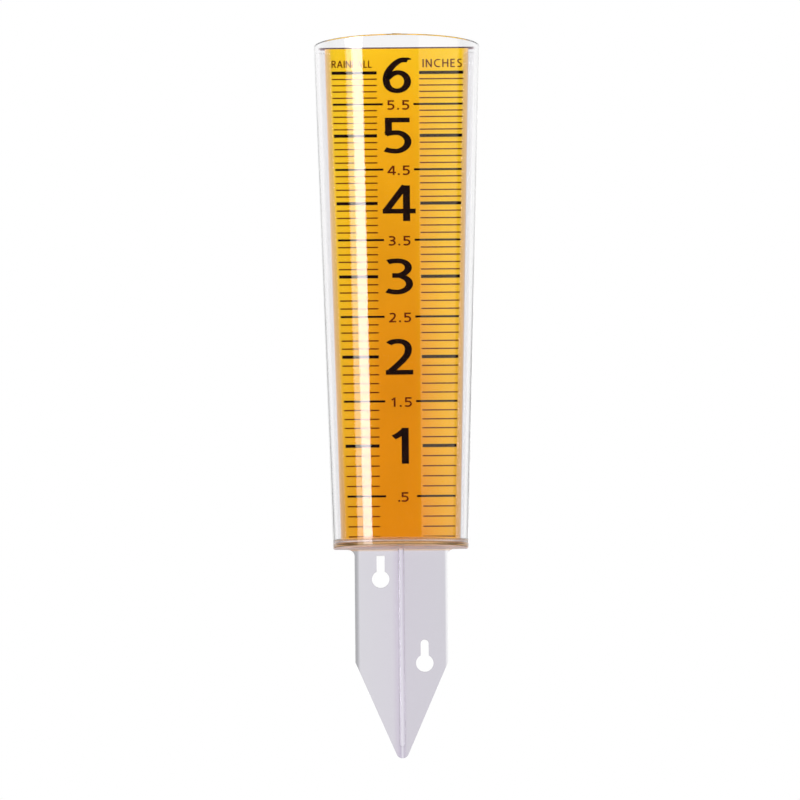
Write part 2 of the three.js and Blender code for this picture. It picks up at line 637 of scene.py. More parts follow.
@dataclass
class NodeBench:
    """Adds and links the nodes of one tree."""

    tree: bpy.types.NodeTree

    def add(self, kind: str, **settings: object) -> bpy.types.Node:
        """Adds a node and sets its properties.

        Args:
            kind: the node's type name.
            **settings: property values by name.

        Returns:
            The new node.
        """
        node = self.tree.nodes.new(kind)
        for name, value in settings.items():
            setattr(node, name, value)
        return node

    def link(self, source: bpy.types.NodeSocket, target: bpy.types.NodeSocket) -> None:
        """Links an output to an input."""
        self.tree.links.new(source, target)

    def placed(self, scale: tuple[float, float, float] = (1, 1, 1)) -> bpy.types.NodeSocket:
        """Reads the piece's own coordinates.

        Args:
            scale: how far they are stretched along each axis.

        Returns:
            The coordinates.
        """
        coordinates = self.add("ShaderNodeTexCoord")
        mapping = self.add("ShaderNodeMapping")
        mapping.inputs["Scale"].default_value = scale
        self.link(coordinates.outputs["Object"], mapping.inputs["Vector"])
        return mapping.outputs["Vector"]

    def along(self, axis: str) -> bpy.types.NodeSocket:
        """Reads the shaded point's place along one of its piece's own axes.

        Args:
            axis: the axis, X, Y or Z.

        Returns:
            The place, in metres.
        """
        split = self.add("ShaderNodeSeparateXYZ")
        self.link(self.placed(), split.inputs["Vector"])
        return split.outputs[axis]

    def ramp(self, share: bpy.types.NodeSocket, stops: Stops) -> bpy.types.NodeSocket:
        """Runs a value through a row of colours.

        Args:
            share: the value, from 0 to 1.
            stops: each colour and its place.

        Returns:
            The colour.
        """
        node = self.add("ShaderNodeValToRGB")
        row = node.color_ramp.elements
        for _ in stops[2:]:
            row.new(0.5)
        for stop, (place, colour) in zip(row, stops):
            stop.position = place
            stop.color = (*colour, 1)
        self.link(share, node.inputs["Fac"])
        return node.outputs["Color"]

    def noise(
        self, scale: float, detail: float, stretch: tuple[float, float, float] = (1, 1, 1)
    ) -> bpy.types.NodeSocket:
        """Adds a noise pattern on the piece's own coordinates.

        Args:
            scale: how fine the pattern is.
            detail: how many finer layers it has.
            stretch: how much finer still it is along each axis.

        Returns:
            The pattern's value.
        """
        node = self.add("ShaderNodeTexNoise")
        node.inputs["Scale"].default_value = scale
        node.inputs["Detail"].default_value = detail
        self.link(self.placed(stretch), node.inputs["Vector"])
        return node.outputs["Fac"]

    def ranged(
        self, value: bpy.types.NodeSocket, source: tuple[float, float], target: tuple[float, float]
    ) -> bpy.types.NodeSocket:
        """Maps a value from one range to another, held at the ends.

        Args:
            value: the value.
            source: the range that it comes from.
            target: the range that it is brought to.

        Returns:
            The value in its new range.
        """
        node = self.add("ShaderNodeMapRange")
        for name, number in zip(("From Min", "From Max", "To Min", "To Max"), source + target):
            node.inputs[name].default_value = number
        self.link(value, node.inputs["Value"])
        return node.outputs["Result"]

    def maths(self, operation: str, *values: bpy.types.NodeSocket | float) -> bpy.types.NodeSocket:
        """Applies one operation of arithmetic.

        Args:
            operation: the Math node's operation.
            *values: the numbers it takes in order, each a socket or a plain number.

        Returns:
            The result.
        """
        node = self.add("ShaderNodeMath", operation=operation)
        for term, value in zip(node.inputs, values):
            if isinstance(value, bpy.types.NodeSocket):
                self.link(value, term)
            else:
                term.default_value = value
        return node.outputs["Value"]

    def blended(
        self,
        factor: bpy.types.NodeSocket,
        low: bpy.types.NodeSocket | Colour,
        high: bpy.types.NodeSocket | Colour,
    ) -> bpy.types.NodeSocket:
        """Mixes two colours.

        Args:
            factor: the share of the second colour.
            low: the colour at 0.
            high: the colour at 1.

        Returns:
            The mixed colour.
        """
        node = self.add("ShaderNodeMix", data_type="RGBA")
        colours = [socket for socket in node.inputs if socket.type == "RGBA"]
        for socket, colour in zip(colours, (low, high)):
            if isinstance(colour, tuple):
                socket.default_value = (*colour, 1)
            else:
                self.link(colour, socket)
        self.link(factor, node.inputs["Factor"])
        return next(socket for socket in node.outputs if socket.type == "RGBA")

    def bump(self, height: bpy.types.NodeSocket, strength: float, distance: float) -> bpy.types.NodeSocket:
        """Adds a bump of a height pattern.

        Args:
            height: the pattern.
            strength: how much of the bump shows.
            distance: how high the pattern stands, in metres.

        Returns:
            The bumped normal.
        """
        node = self.add("ShaderNodeBump")
        node.inputs["Strength"].default_value = strength
        node.inputs["Distance"].default_value = distance
        self.link(height, node.inputs["Height"])
        return node.outputs["Normal"]

    def clouded(
        self, colour: bpy.types.NodeSocket, clouds: bpy.types.NodeSocket, swing: float
    ) -> bpy.types.NodeSocket:
        """Lightens and darkens a colour in clouds.

        Args:
            colour: the colour.
            clouds: a noise pattern's value.
            swing: how far the brightness strays from 1 either way.

        Returns:
            The uneven colour.
        """
        tone = self.add("ShaderNodeHueSaturation")
        self.link(self.ranged(clouds, (0.3, 0.7), (1 - swing, 1 + swing)), tone.inputs["Value"])
        self.link(colour, tone.inputs["Color"])
        return tone.outputs["Color"]


@dataclass
class Finish:
    """A material being made: its tree's bench, its Principled shader and its output."""

    material: bpy.types.Material
    bench: NodeBench
    shader: bpy.types.Node
    output: bpy.types.Node

    @classmethod
    def start(cls, name: str) -> "Finish":
        """Starts a material with one Principled shader.

        Args:
            name: the material's name.

        Returns:
            The finish.
        """
        material = bpy.data.materials.new(name)
        material.use_nodes = True
        material.node_tree.nodes.clear()
        bench = NodeBench(material.node_tree)
        shader = bench.add("ShaderNodeBsdfPrincipled")
        output = bench.add("ShaderNodeOutputMaterial")
        bench.link(shader.outputs["BSDF"], output.inputs["Surface"])
        return cls(material, bench, shader, output)

    def handled(self, wear: bpy.types.NodeTree, polish: float, depth: float) -> bpy.types.Node:
        """Places the handling-wear group in the material.

        Args:
            wear: the group.
            polish: the least roughness.
            depth: how much rougher the worn clouds are.

        Returns:
            The group's node.
        """
        node = self.bench.add("ShaderNodeGroup", node_tree=wear)
        node.inputs["Polish"].default_value = polish
        node.inputs["Wear"].default_value = depth
        return node


def handling_wear() -> bpy.types.NodeTree:
    """Builds the handling-wear group: cloudy roughness and fine upright hairlines.

    Returns:
        A shader node group with inputs Polish and Wear and outputs Roughness and Hairlines.
    """
    group = bpy.data.node_groups.new("handling_wear", "ShaderNodeTree")
    for name, value in (("Polish", 0.04), ("Wear", 0.05)):
        socket = group.interface.new_socket(name, in_out="INPUT", socket_type="NodeSocketFloat")
        socket.default_value = value
    for name in ("Roughness", "Hairlines"):
        group.interface.new_socket(name, in_out="OUTPUT", socket_type="NodeSocketFloat")
    bench = NodeBench(group)
    inputs = bench.add("NodeGroupInput")
    outputs = bench.add("NodeGroupOutput")
    cloudy = bench.ranged(bench.noise(55.0, 4.0, (1, 1, 0.4)), (0.4, 0.75), (0.0, 1.0))
    roughness = bench.maths("MULTIPLY_ADD", cloudy, inputs.outputs["Wear"], inputs.outputs["Polish"])
    bench.link(roughness, outputs.inputs["Roughness"])
    bench.link(bench.noise(1.0, 2.0, (900, 900, 14)), outputs.inputs["Hairlines"])
    return group


@dataclass(frozen=True)
class ClearPlastic:
    """Clear moulded plastic: polished on the tube, satin and a little greyer on the stake, with painted
    shade on the back wall's top edge, painted amber light in the floor, and painted shade and highlights
    along the stake's edges and web.
    """

    wear: bpy.types.NodeTree
    tube_tint: Colour = (0.985, 0.98, 0.99)
    # painted shade: a dark purple-brown line along the back wall's top edge, standing in for the dark that
    # the edge reflects
    rim_painted_shade: Colour = (0.17, 0.055, 0.085)
    # painted light: the scale plate's amber, carried down through the floor slab, painted into the floor's
    # colour
    floor_painted_amber_light: Colour = (0.66, 0.38, 0.16)
    # the stake's own lavender-grey tint across its width, with painted shade at its left edge and on
    # either side of the web, and painted highlights down the web's middle and on its right edge
    stake_tint_and_painted_edges: Stops = (
        (0.0, (0.45, 0.45, 0.47)),
        (0.03, (0.47, 0.47, 0.49)),
        (0.055, (0.74, 0.725, 0.775)),
        (0.40, (0.73, 0.705, 0.77)),
        (0.452, (0.68, 0.63, 0.73)),
        (0.482, (0.60, 0.55, 0.67)),
        (0.497, (0.80, 0.77, 0.85)),
        (0.503, (0.80, 0.77, 0.85)),
        (0.518, (0.61, 0.56, 0.67)),
        (0.55, (0.69, 0.66, 0.73)),
        (0.965, (0.69, 0.67, 0.73)),
        (0.985, (0.95, 0.95, 0.97)),
    )
    stake_span: float = 20.4 * MM
    stake_change: tuple[float, float] = (0.5 * MM, -1.0 * MM)
    # the heights over which the painted amber light of the floor comes in
    floor_change: tuple[float, float] = (0.5 * MM, 0.1 * MM)
    # the heights and depths over which the painted shade on the back wall's top edge comes in
    rim_change: tuple[float, float] = (-1.3 * MM, -1.15 * MM)
    back_change: tuple[float, float] = (-2.6 * MM, -2.3 * MM)
    shadow_tint: Colour = (0.95, 0.95, 0.96)
    ior: float = 1.5
    polish: float = 0.012
    wear_depth: float = 0.03
    satin: float = 0.12
    ripple_scale: float = 60.0
    ripple_strength: float = 0.05
    ripple_height: float = 0.4 * MM

    def painted_rim_shade_mask(self, bench: NodeBench, rim_z: float) -> bpy.types.NodeSocket:
        """Where painted shade darkens the top edge of the back wall, as a mask.

        Args:
            bench: the material's bench.
            rim_z: the height of the rim.

        Returns:
            The mask, 1 on the back wall's top edge.
        """
        start, full = self.rim_change
        high = bench.ranged(bench.along("Z"), (rim_z + start, rim_z + full), (0.0, 1.0))
        back = bench.ranged(bench.along("Y"), self.back_change, (0.0, 1.0))
        return bench.maths("MULTIPLY", high, back)

    def make(self, change_z: float, rim_z: float) -> bpy.types.Material:
        """Makes the material.

        Args:
            change_z: the height where the tube's polish gives way to the stake's satin.
            rim_z: the height of the rim.

        Returns:
            The clear plastic.
        """
        finish = Finish.start("clear_plastic")
        bench, shader = finish.bench, finish.shader
        start, full = self.stake_change
        low_down = bench.ranged(bench.along("Z"), (change_z + start, change_z + full), (0.0, 1.0))
        across = bench.ranged(bench.along("X"), (-self.stake_span, self.stake_span), (0.0, 1.0))
        # paints the plate's amber light into the floor slab
        in_floor = bench.ranged(bench.along("Z"), self.floor_change, (0.0, 1.0))
        wall = bench.blended(in_floor, self.tube_tint, self.floor_painted_amber_light)
        # paints the shade along the back wall's top edge
        tube = bench.blended(self.painted_rim_shade_mask(bench, rim_z), wall, self.rim_painted_shade)
        # lays the stake's own tint, with its painted edge shade and highlights, over the tube's colour
        # below the change
        tint_and_painted_light = bench.blended(low_down, tube, bench.ramp(across, self.stake_tint_and_painted_edges))
        bench.link(tint_and_painted_light, shader.inputs["Base Color"])
        wear = finish.handled(self.wear, self.polish, self.wear_depth)
        satin = bench.maths("MULTIPLY_ADD", low_down, self.satin, wear.outputs["Roughness"])
        bench.link(satin, shader.inputs["Roughness"])
        ripples = bench.noise(self.ripple_scale, 1.0, (1, 1, 0.25))
        bump = bench.bump(ripples, self.ripple_strength, self.ripple_height)
        bench.link(bump, shader.inputs["Normal"])
        shader.inputs["IOR"].default_value = self.ior
        shader.inputs["Transmission Weight"].default_value = 1.0
        self.let_lamps_through(finish)
        return finish.material

    def let_lamps_through(self, finish: Finish) -> None:
        """Lets light fall straight through the plastic on to what stands behind it.

        Args:
            finish: the material being made, whose output this takes over.
        """
        bench = finish.bench
        path = bench.add("ShaderNodeLightPath")
        either = bench.maths("MAXIMUM", path.outputs["Is Shadow Ray"], path.outputs["Is Diffuse Ray"])
        clear = bench.add("ShaderNodeBsdfTransparent")
        clear.inputs["Color"].default_value = (*self.shadow_tint, 1)
        mix = bench.add("ShaderNodeMixShader")
        bench.link(either, mix.inputs[0])
        bench.link(finish.shader.outputs["BSDF"], mix.inputs[1])
        bench.link(clear.outputs["BSDF"], mix.inputs[2])
        bench.link(mix.outputs["Shader"], finish.output.inputs["Surface"])


@dataclass(frozen=True)
class FootPlastic:
    """The tube's underside, painted with a pinkish tinge that stands in for the amber sheet's light seen
    through it.
    """

    # painted light: the amber sheet's light seen through the underside, more orange at the front and
    # pinkish behind
    colours: Stops = (
        (0.0, (0.92, 0.62, 0.42)),
        (0.3, (0.93, 0.72, 0.74)),
        (1.0, (0.91, 0.72, 0.74)),
    )
    mottle: float = 0.07
    satin: float = 0.3
    clearness: float = 0.85
    gloss: float = 0.05

    def make(self, depth: float) -> bpy.types.Material:
        """Makes the material.

        Args:
            depth: how far the foot reaches forward.

        Returns:
            The plastic of the underside.
        """
        finish = Finish.start("foot_plastic")
        bench, shader = finish.bench, finish.shader
        share = bench.ranged(bench.along("Y"), (-depth, 0.0), (0.0, 1.0))
        colour = bench.clouded(bench.ramp(share, self.colours), bench.noise(90.0, 2.0), self.mottle)
        bench.link(colour, shader.inputs["Base Color"])
        shader.inputs["Roughness"].default_value = self.satin
        shader.inputs["Transmission Weight"].default_value = self.clearness
        shader.inputs["Specular IOR Level"].default_value = self.gloss
        return finish.material


@dataclass(frozen=True)
class AmberPlastic:
    """Amber sheet, with painted shade deepening it towards its foot, a painted reflection paling it
    towards its long edges and a painted glow along them.
    """

    wear: bpy.types.NodeTree
    # the sheet's amber from foot to top; its deeper, darker orange low down is painted shade
    heart: Stops = (
        (0.0, (0.82, 0.275, 0.002)),
        (0.35, (0.80, 0.275, 0.002)),
        (0.6, (0.82, 0.335, 0.003)),
        (0.85, (0.90, 0.42, 0.004)),
        (1.0, (0.95, 0.54, 0.01)),
    )
    # painted reflection: the paler, yellower veil that the side lamps lay over the sheet's long edges
    painted_edge_veil: Stops = (
        (0.0, (0.90, 0.45, 0.020)),
        (0.5, (0.98, 0.57, 0.015)),
        (1.0, (0.95, 0.60, 0.015)),
    )
    left_painted_veil: tuple[float, float] = (-8.0 * MM, -27.0 * MM)
    right_painted_veil: tuple[float, float] = (7.0 * MM, 20.0 * MM)
    right_most: float = 0.8
    glow: Colour = (0.93, 0.62, 0.38)
    glow_width: float = 3.4 * MM
    glow_falloff: float = 1.5
    mottle: float = 0.04
    polish: float = 0.32
    wear_depth: float = 0.12
    hairline_strength: float = 0.08
    hairline_height: float = 0.05 * MM
    gloss: float = 0.15

    def painted_veil_share(self, bench: NodeBench) -> bpy.types.NodeSocket:
        """How far the painted reflection that pales the long edges lies over a point.

        Args:
            bench: the material's bench.

        Returns:
            The share, from 0 in the middle to 1 on the left and somewhat less on the right.
        """
        across = bench.along("X")
        left = bench.ranged(across, self.left_painted_veil, (0.0, 1.0))
        right = bench.ranged(across, self.right_painted_veil, (0.0, self.right_most))
        return bench.maths("MAXIMUM", left, right)

    def edge_glow(self, bench: NodeBench, half: Taper) -> bpy.types.NodeSocket:
        """Where the light that the sheet gathers leaves it, along the long edges.

        Args:
            bench: the material's bench.
            half: the sheet's half width.

        Returns:
            The mask, 1 at the edge and falling away from it.
        """
        out = bench.maths("ABSOLUTE", bench.along("X"))
        width = bench.ranged(bench.along("Z"), (half.low_z, half.high_z), (half.low, half.high))
        near = bench.ranged(bench.maths("SUBTRACT", out, width), (-self.glow_width, 0.0), (0.0, 1.0))
        return bench.maths("POWER", near, self.glow_falloff)

    def make(self, half: Taper) -> bpy.types.Material:
        """Makes the material.

        Args:
            half: the sheet's half width, from its foot to its top edge.

        Returns:
            The amber plastic.
        """
        finish = Finish.start("amber_plastic")
        bench, shader = finish.bench, finish.shader
        share = bench.ranged(bench.along("Z"), (half.low_z, half.high_z), (0.0, 1.0))
        # blends in the painted reflection at the long edges, then the painted glow along them
        colour = bench.blended(
            self.painted_veil_share(bench), bench.ramp(share, self.heart), bench.ramp(share, self.painted_edge_veil)
        )
        colour = bench.blended(self.edge_glow(bench, half), colour, self.glow)
        colour = bench.clouded(colour, bench.noise(45.0, 3.0, (1, 1, 0.5)), self.mottle)
        bench.link(colour, shader.inputs["Base Color"])
        wear = finish.handled(self.wear, self.polish, self.wear_depth)
        bench.link(wear.outputs["Roughness"], shader.inputs["Roughness"])
        bump = bench.bump(wear.outputs["Hairlines"], self.hairline_strength, self.hairline_height)
        bench.link(bump, shader.inputs["Normal"])
        shader.inputs["Specular IOR Level"].default_value = self.gloss
        return finish.material


@dataclass(frozen=True)
class PrintInk:
    """Dark brown-black printed ink with a slightly uneven lay."""

    name: str = "print_ink"
    full: Colour = (0.005, 0.001, 0.0005)
    thin: Colour = (0.018, 0.004, 0.001)
    dullness: tuple[float, float] = (0.38, 0.55)
    lay_strength: float = 0.15
    lay_height: float = 0.02 * MM
    gloss: float = 0.03

    def make(self) -> bpy.types.Material:
        """Makes the material.

        Returns:
            The ink.
        """
        finish = Finish.start(self.name)
        bench, shader = finish.bench, finish.shader
        clouds = bench.noise(700.0, 3.0)
        blend = bench.blended(bench.ranged(clouds, (0.35, 0.75), (0.0, 1.0)), self.full, self.thin)
        bench.link(blend, shader.inputs["Base Color"])
        bench.link(bench.ranged(clouds, (0.3, 0.7), self.dullness), shader.inputs["Roughness"])
        bench.link(bench.bump(clouds, self.lay_strength, self.lay_height), shader.inputs["Normal"])
        shader.inputs["Specular IOR Level"].default_value = self.gloss
        return finish.material


# ---------------------------------------------------------------- the clear moulding


@dataclass(frozen=True)
class TubeSection:
    """A level section of the tube: flat back, short straight sides and a bowed front."""

    half: float
    back: float
    depth: float
    straight: float
    corner: float
    bow_steps: int = 120
    corner_steps: int = 6

    def outline(self, z: float) -> list[Vector]:
        """Walks round the section from the left side, over the front, and back behind.

        Args:
            z: the section's height.

        Returns:
            The section's corners.
        """
        side_y = -self.back - self.straight
        bow = self.depth - self.straight
        points = [
            Vector((-self.half * math.cos(angle), side_y - bow * math.sin(angle), z))
            for angle in arc(0.0, math.pi, self.bow_steps)
        ]
        for side, start in ((Side.RIGHT, 0.0), (Side.LEFT, math.pi / 2)):
            centre = Vector((side.value * (self.half - self.corner), -self.back - self.corner, z))
            for angle in arc(start, math.pi / 2, self.corner_steps):
                points.append(centre + Vector((math.cos(angle), math.sin(angle), 0.0)) * self.corner)
        return points


@dataclass
class MeasuringTube:
    """The tapered cup that catches and holds the rain."""

    form: GaugeForm
    straight: float = 5.6 * MM
    back_corner: float = 2.4 * MM
    least_corner: float = 0.1 * MM
    foot_round: float = 0.9 * MM
    floor_round: float = 2.0 * MM
    rim_round: float = 0.5 * MM
    support: float = 0.2 * MM
    rim_drop: float = 0.15 * MM
    levels: int = 8
    round_steps: int = 4

    def section(self, z: float, inset: float) -> TubeSection:
        """The section at a height, some way in from the outer skin.

        Args:
            z: the height.
            inset: how far in from the outer skin, where the wall's thickness reaches the inner skin.

        Returns:
            The section.
        """
        form = self.form
        share = inset / form.wall
        outer, inner = form.outer_depth.at(z), form.inner_depth(z)
        outer_straight = self.straight * outer / form.outer_depth.at(form.rim)
        inner_straight = (self.straight - form.back_wall) * inner / form.inner_depth(form.rim)
        return TubeSection(
            half=form.outer_half.at(z) - inset,
            back=form.back_wall * share,
            depth=lerp(outer, inner, share),
            straight=lerp(outer_straight, inner_straight, share),
            corner=max(self.back_corner - inset, self.least_corner),
        )

    def wall_path(self) -> list[tuple[float, float]]:
        """Walks the wall's profile: up the outside, in over the rim and down the inside.

        Returns:
            Each level's height and its inset from the outer skin.
        """
        wall, foot, rim, floor = self.form.wall, self.foot_round, self.rim_round, self.floor_round
        turns = [(math.sin(a), math.cos(a)) for a in arc(0.0, math.pi / 2, self.round_steps)]
        low, high = self.form.underside + foot, self.form.rim - self.rim_drop - rim
        edge = self.support / (high - low)
        climb = [edge] + [i / self.levels for i in range(1, self.levels)] + [1 - edge]
        path = [(low - foot * cos, foot * (1 - sin)) for sin, cos in turns]
        path += [(lerp(low, high, share), 0.0) for share in climb]
        path += [(high + rim * sin, rim * (1 - cos)) for sin, cos in turns]
        path += [(high + rim * cos, wall - rim * (1 - sin)) for sin, cos in turns]
        path += [(lerp(high, floor, share), wall) for share in climb]
        path += [(floor * (1 - sin), wall + floor * (1 - cos)) for sin, cos in turns]
        return path

    def build(self) -> bpy.types.Object:
        """Extrudes the wall from level to level and closes the floor above and below.

        Returns:
            The closed cup.
        """
        bm = bmesh.new()
        (first_z, first_inset), *rest = self.wall_path()
        points = self.section(first_z, first_inset).outline(first_z)
        first = edges = loop_of(bm, points)
        for z, inset in rest:
            place = {point.copy().freeze(): index for index, point in enumerate(points)}
            points = self.section(z, inset).outline(z)
            grown = bmesh.ops.extrude_edge_only(bm, edges=edges)["geom"]
            edges = [g for g in grown if isinstance(g, bmesh.types.BMEdge)]
            for vertex in [g for g in grown if isinstance(g, bmesh.types.BMVert)]:
                vertex.co = points[place[vertex.co.copy().freeze()]]
        for end in (first, edges):
            bmesh.ops.edgeloop_fill(bm, edges=end)
        return finished("measuring_tube_body", bm)


@dataclass
class GuideRib:
    """A bar on one side wall that reaches over the scale plate's edge."""

    form: GaugeForm
    side: Side
    overlap: float = 2.2 * MM
    thickness: float = 1.1 * MM
    gap: float = 0.3 * MM
    below_rim: float = 3.0 * MM
    root: float = 0.7 * MM
    edge_round: float = 0.3 * MM

    def build(self) -> bpy.types.Object:
        """Shapes the bar, rooted in the wall and in the floor.

        Returns:
            The bar.
        """
        form, sign = self.form, self.side.value
        back = form.plate_front - self.gap
        ends = []
        for z in (-self.root, form.rim - self.below_rim):
            free, rooted = form.plate_half.at(z) - self.overlap, form.inner_half(z) + self.root
            left, right = sorted((free * sign, rooted * sign))
            ends.append(BarEnd(z, left, right, back - self.thickness, back))
        return tapered_bar(f"guide_rib_{self.side.name.lower()}_body", *ends, self.edge_round)


@dataclass(frozen=True)
class Keyhole:
    """A round hole with a slot rising from it, for a screw's head and shank."""

    x: float
    drop: float
    round_top: bool
    head: float = 3.8 * MM
    slot: float = 3.5 * MM
    rise: float = 10.3 * MM
    steps: int = 28

    def outline(self, top_z: float) -> list[Vector]:
        """Walks round the hole.

        Args:
            top_z: the height that the drop is measured from.

        Returns:
            The hole's corners on the back plane.
        """
        z = top_z - self.drop
        half = self.slot / 2
        gap = math.asin(half / self.head)
        angles = arc(math.pi / 2 + gap, 2 * (math.pi - gap), self.steps)
        points = [(self.x + self.head * math.cos(a), z + self.head * math.sin(a)) for a in angles]
        if self.round_top:
            crown = z + self.rise - half
            angles = arc(0.0, math.pi, self.steps // 2)
            points += [(self.x + half * math.cos(a), crown + half * math.sin(a)) for a in angles]
        else:
            points += [(self.x + half, z + self.rise), (self.x - half, z + self.rise)]
        return [Vector((x, 0.0, z)) for x, z in points]


@dataclass
class GroundStake:
    """The flat pointed blade under the tube, with its two keyholes."""

    form: GaugeForm
    tip: float
    keyholes: tuple[Keyhole, ...]
    half: float
    blade: float = 49.2 * MM
    thickness: float = 2.4 * MM
    fillet: float = 3.0 * MM
    tip_radius: float = 2.8 * MM
    root: float = 0.8 * MM
    edge_round: float = 0.6 * MM
    round_segments: int = 3
    steps: int = 16

    def outline(self) -> list[Vector]:
        """Walks round the blade from the tube's underside, down the left and up the right.

        Returns:
            The blade's corners on the back plane.
        """
        top, shoulder = self.form.underside, self.form.underside - self.blade
        centre_z = self.tip + self.tip_radius
        to_shoulder = math.hypot(self.half, shoulder - centre_z)
        tangent = math.atan2(shoulder - centre_z, self.half) - math.acos(self.tip_radius / to_shoulder)
        left = [(-self.half - self.fillet, top + self.root)]
        for angle in arc(math.pi / 2, -math.pi / 2, self.steps):
            x = -self.half - self.fillet * (1 - math.cos(angle))
            left.append((x, top - self.fillet * (1 - math.sin(angle))))
        left.append((-self.half, shoulder))
        sweep = arc(math.pi - tangent, math.pi + 2 * tangent, self.steps)
        point = [(self.tip_radius * math.cos(a), centre_z + self.tip_radius * math.sin(a)) for a in sweep]
        right = [(-x, z) for x, z in reversed(left)]
        return [Vector((x, 0.0, z)) for x, z in left + point + right]

    def build(self) -> bpy.types.Object:
        """Fills the outline around the keyholes, thickens it and rounds its edges.

        Returns:
            The blade.
        """
        bm = bmesh.new()
        edges = loop_of(bm, self.outline())
        for keyhole in self.keyholes:
            edges += loop_of(bm, keyhole.outline(self.form.underside))
        bmesh.ops.triangle_fill(bm, use_beauty=True, use_dissolve=False, edges=edges)
        thicken(bm, Vector((0.0, -self.thickness, 0.0)))
        round_sharp_edges(bm, self.edge_round, self.round_segments)
        return finished("ground_stake_body", bm)


@dataclass
class StakeWeb:
    """The upright fin on the front of the blade, deep under the tube and shallow near the tip."""

    form: GaugeForm
    foot_z: float
    thickness: float = 2.6 * MM
    top_reach: float = 11.0 * MM
    foot_reach: float = 4.6 * MM
    root: float = 0.8 * MM
    edge_round: float = 1.1 * MM

    def build(self) -> bpy.types.Object:
        """Shapes the fin, rooted in the blade and in the tube's floor.

        Returns:
            The fin.
        """
        half, top = self.thickness / 2, self.form.underside + self.root
        foot = BarEnd(self.foot_z, -half, half, -self.foot_reach, -self.root)
        head = BarEnd(top, -half, half, -self.top_reach, -self.root)
        return tapered_bar("stake_web_body", foot, head, self.edge_round)


@dataclass
class ClearMoulding:
    """Tube, guide ribs, stake and web: one moulded piece of clear plastic."""

    form: GaugeForm
    keyholes: tuple[Keyhole, ...] = (
        Keyhole(x=-8.9 * MM, drop=13.0 * MM, round_top=False),
        Keyhole(x=10.0 * MM, drop=49.7 * MM, round_top=True),
    )
    gate_width: float = 4.0 * MM
    gate_height: float = 2.0 * MM
    gate_inset: float = 0.25 * MM
    gate_round: float = 0.2 * MM
    foot_edge: float = 0.9 * MM
    foot_lean: float = -0.3

    def gate_mark(self) -> bpy.types.Object:
        """Shapes the small pad where the plastic was let in, proud of the middle of the front rim.

        Returns:
            The pad.
        """
        rim, half = self.form.rim, self.gate_width / 2
        front = self.gate_inset - self.form.outer_depth.at(rim)
        back = front + self.form.wall - 2 * self.gate_inset
        ends = [BarEnd(z, -half, half, front, back) for z in (rim - self.gate_height, rim)]
        return tapered_bar("gate_mark_body", *ends, self.gate_round)

    def build(self) -> bpy.types.Object:
        """Builds the parts and fuses them.

        Returns:
            The clear moulding, which stands for five CAD nodes.
        """
        stake_low, stake_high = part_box("ground_stake")
        web_low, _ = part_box("stake_web")
        stake = GroundStake(self.form, stake_low.z, self.keyholes, stake_high.x)
        stake.half -= stake.fillet
        tube = MeasuringTube(self.form).build()
        parts = [GuideRib(self.form, side).build() for side in Side]
        parts += [self.gate_mark(), stake.build(), StakeWeb(self.form, web_low.z).build()]
        fuse(tube, parts)
        tube.name = tube.data.name = "clear_moulding"
        shade(tube)
        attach(tube, "gauge")
        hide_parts("measuring_tube", "guide_rib_left", "guide_rib_right", "ground_stake", "stake_web")
        return tube

    def dress(self, moulding: bpy.types.Object, wear: bpy.types.NodeTree) -> None:
        """Gives the moulding its clear plastic, and the tube's underside its painted tinge of the amber
        sheet's light.

        Args:
            moulding: the clear moulding.
            wear: the handling-wear group.
        """
        form = self.form
        materials = moulding.data.materials
        materials.clear()
        materials.append(ClearPlastic(wear).make(form.underside, form.rim))
        materials.append(FootPlastic().make(form.outer_depth.at(form.underside)))
        # the underside's faces take the foot plastic with its painted amber light
        for face in moulding.data.polygons:
            at_foot = abs(face.center.z - form.underside) < self.foot_edge
            face.material_index = int(at_foot and face.normal.z < self.foot_lean)


# ---------------------------------------------------------------- the scale plate


@dataclass
class ScalePlate:
    """The amber sheet that stands behind the guide ribs."""

    form: GaugeForm
    edge_round: float = 0.3 * MM

    def build(self) -> bpy.types.Object:
        """Shapes the sheet with its edges eased.

        Returns:
            The sheet, which stands for its CAD node.
        """
        form, half = self.form, self.form.plate_half
        ends = [
            BarEnd(z, -half.at(z), half.at(z), form.plate_front, form.plate_back)
            for z in (half.low_z, half.high_z)
        ]
        plate = tapered_bar("amber_scale_plate", *ends, self.edge_round)
        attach(plate, "plate")
        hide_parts("scale_plate")
        return plate

    def dress(self, plate: bpy.types.Object, wear: bpy.types.NodeTree) -> None:
        """Gives the sheet its amber plastic."""
        plate.data.materials.append(AmberPlastic(wear).make(self.form.plate_half))


@dataclass(frozen=True)
class Word:
    """A printed word and the ends between which its letters are spread, from the print's centre."""

    text: str
    height: float
    start: float
    end: float


